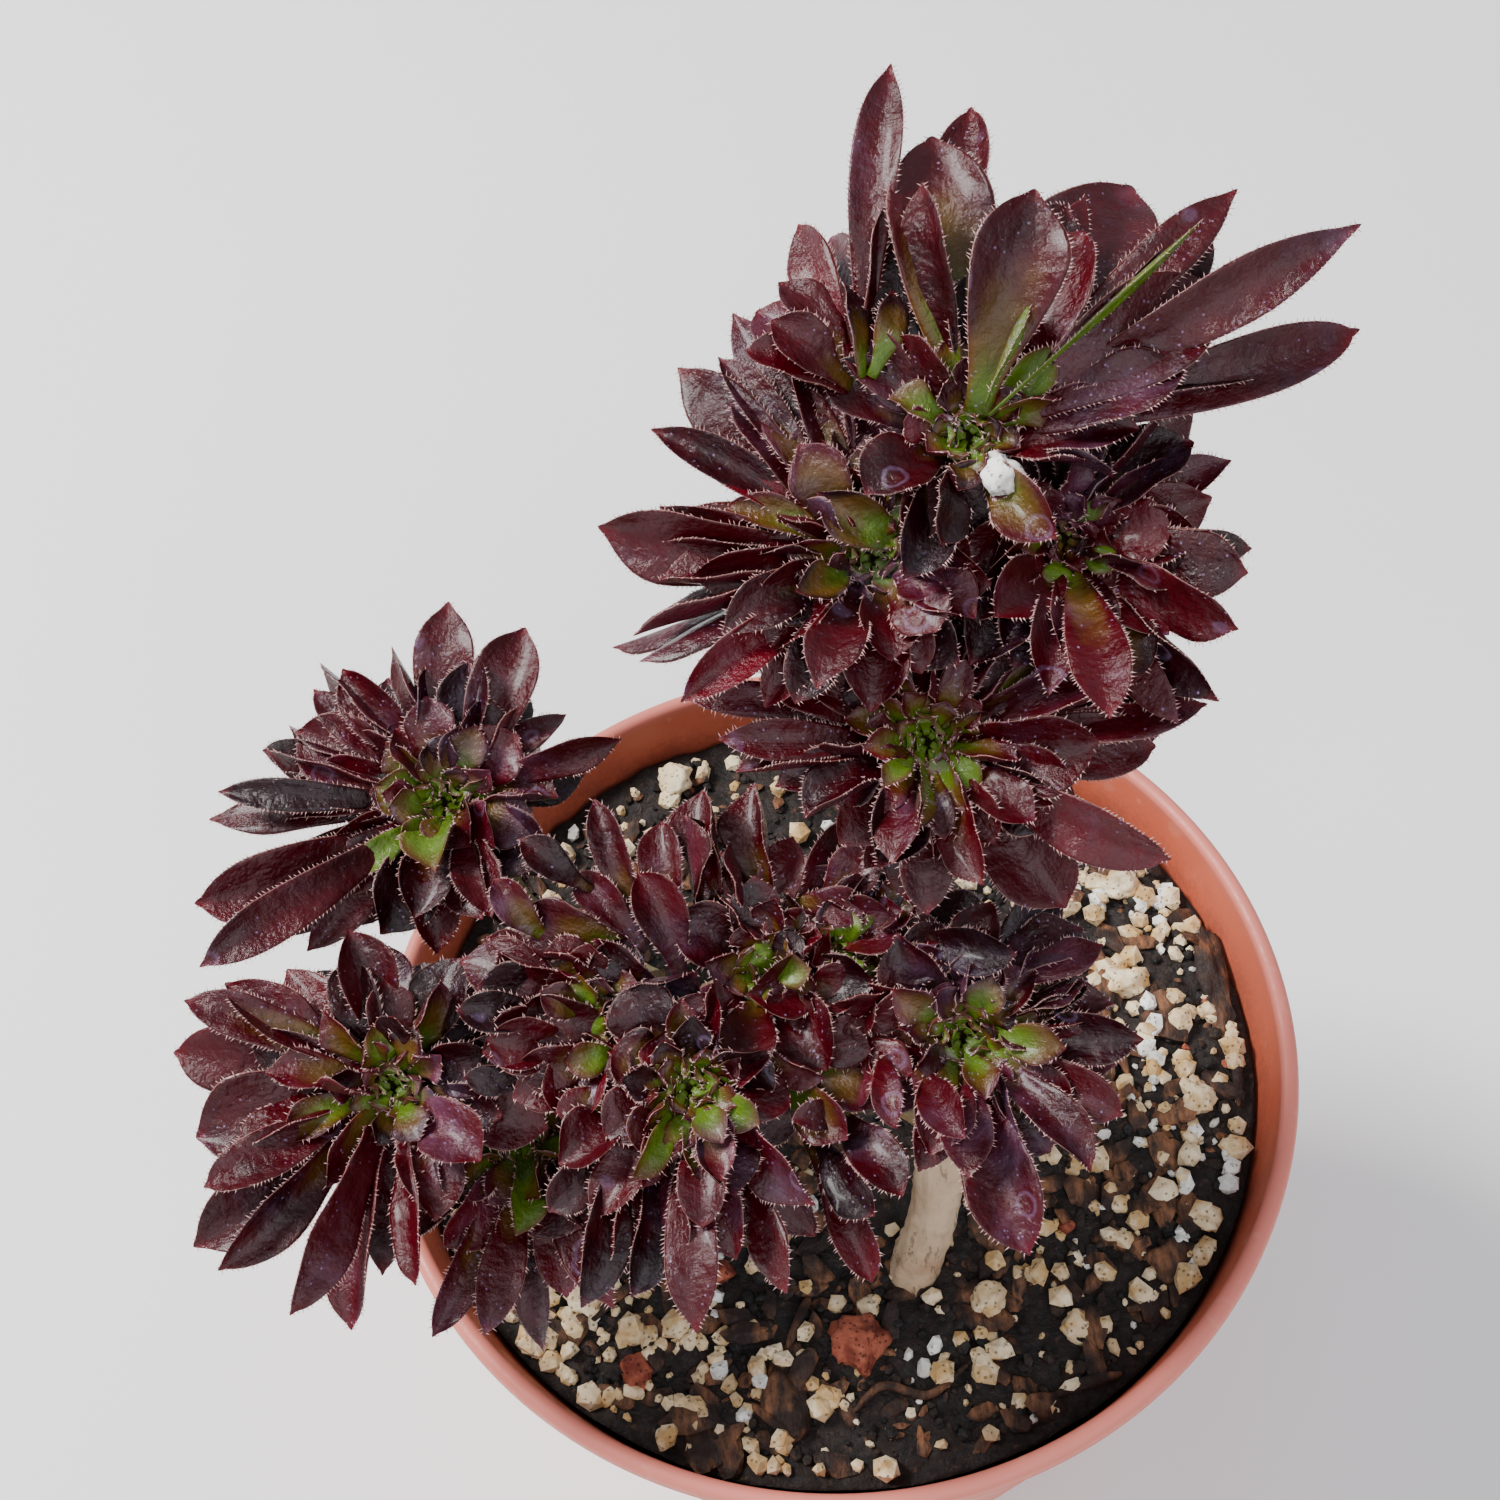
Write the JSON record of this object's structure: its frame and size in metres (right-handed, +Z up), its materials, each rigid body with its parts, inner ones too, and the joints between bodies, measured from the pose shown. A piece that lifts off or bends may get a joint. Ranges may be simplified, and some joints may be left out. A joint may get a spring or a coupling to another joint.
{
  "type": "potted succulent",
  "caption": "Crested dark-leaved rosette succulent on a branching woody trunk, in gritty potting mix in a round plastic nursery pot.",
  "frame": {"origin": "centre of the pot's flat underside, on the surface it stands on", "axes": "+Z up along the pot's axis, +X to the right and -Y towards the side that the rosettes face"},
  "size_m": [0.1284, 0.114, 0.1996],
  "materials": {
    "pot_plastic": "satin moulded plastic, terracotta colour",
    "potting_mix": "damp loose bark and peat",
    "leaf": "smooth waxy leaf with hairy edges",
    "stem_bark": "dry woody stem with leaf scars",
    "stem_green": "green to brown fleshy stem",
    "lava": "rough red porous stone",
    "pumice": "rough cream porous stone",
    "bark": "weathered bark chip",
    "perlite": "matt white grain"
  },
  "bodies": {
    "root": {"bark_chip_front": "bark", "bark_chip_right": "bark", "bark_chip_right_front": "bark", "branch_left_back": "stem_green", "branch_left_front": "stem_green", "branch_offset": "stem_green", "branch_right": "stem_green", "lava_chip_left": "lava", "lava_chip_middle": "lava", "lava_stone_large": "lava", "leaf_front_folded": "leaf", "leaf_left_back_right": "leaf", "leaf_left_back_side": "leaf", "leaf_left_back_top": "leaf", "leaf_left_front_lower": "leaf", "leaf_left_front_side": "leaf", "leaf_left_front_upper": "leaf", "leaf_lower_front_hanging": "leaf", "leaf_lower_right_folded": "leaf", "leaf_right_dark": "leaf", "leaf_right_long": "leaf", "leaf_tallest": "leaf", "leaf_top_broad": "leaf", "leaf_top_front": "leaf", "leaf_top_right_narrow": "leaf", "leaf_top_right_round": "leaf", "leaf_upper_left_broad": "leaf", "lower_crest_back": "leaf", "lower_crest_front": "leaf", "lower_crest_left": "leaf", "lower_crest_middle": "leaf", "lower_crest_right": "leaf", "lower_crest_stem": "stem_green", "lower_stem": "stem_green", "perlite_grain": "perlite", "pot": "pot_plastic", "potting_mix": "potting_mix", "pumice_back": "pumice", "pumice_back_right": "pumice", "pumice_front": "pumice", "pumice_front_right": "pumice", "pumice_left_front": "pumice", "pumice_right": "pumice", "pumice_right_back": "pumice", "pumice_right_low": "pumice", "rosette_left_back": "leaf", "rosette_left_front": "leaf", "shaded_offset": "leaf", "trunk": "stem_bark", "upper_crest_back": "leaf", "upper_crest_front": "leaf", "upper_crest_left": "leaf", "upper_crest_right": "leaf", "upper_crest_stem": "stem_green", "upper_crest_tuft": "leaf", "upper_stem": "stem_green"}
  },
  "joints": []
}
